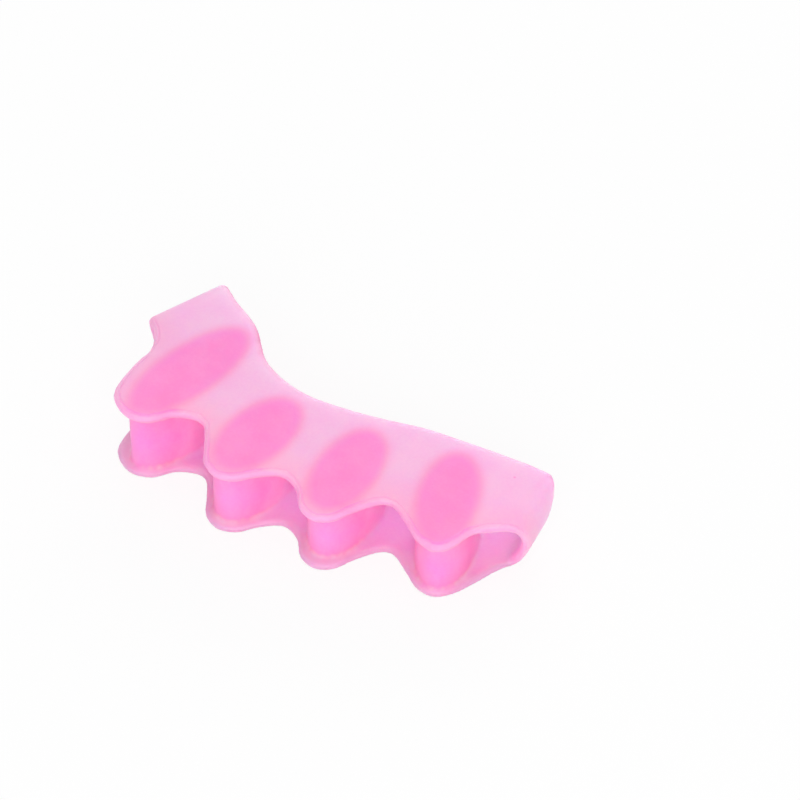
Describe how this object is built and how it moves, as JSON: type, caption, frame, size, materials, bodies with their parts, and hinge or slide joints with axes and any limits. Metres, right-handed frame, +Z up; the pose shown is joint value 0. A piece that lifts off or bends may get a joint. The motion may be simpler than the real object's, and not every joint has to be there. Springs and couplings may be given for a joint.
{
  "type": "toe separator",
  "caption": "Soft pink gel toe separator: a lobed roof and floor web joined by oval posts, with a closed loop at each end, so each toe has its own opening.",
  "frame": {"origin": "bottom centre of the bounding box, on the surface it rests on", "axes": "+X from the big toe's loop to the little toe's loop, the longest way; +Y from the lobed front edge to the back edge; +Z up, the shortest way"},
  "size_m": [0.0976, 0.0524, 0.018],
  "materials": {
    "rubber": "matte translucent pink gel"
  },
  "bodies": {
    "root": {"toe_separator": "rubber"}
  },
  "joints": []
}
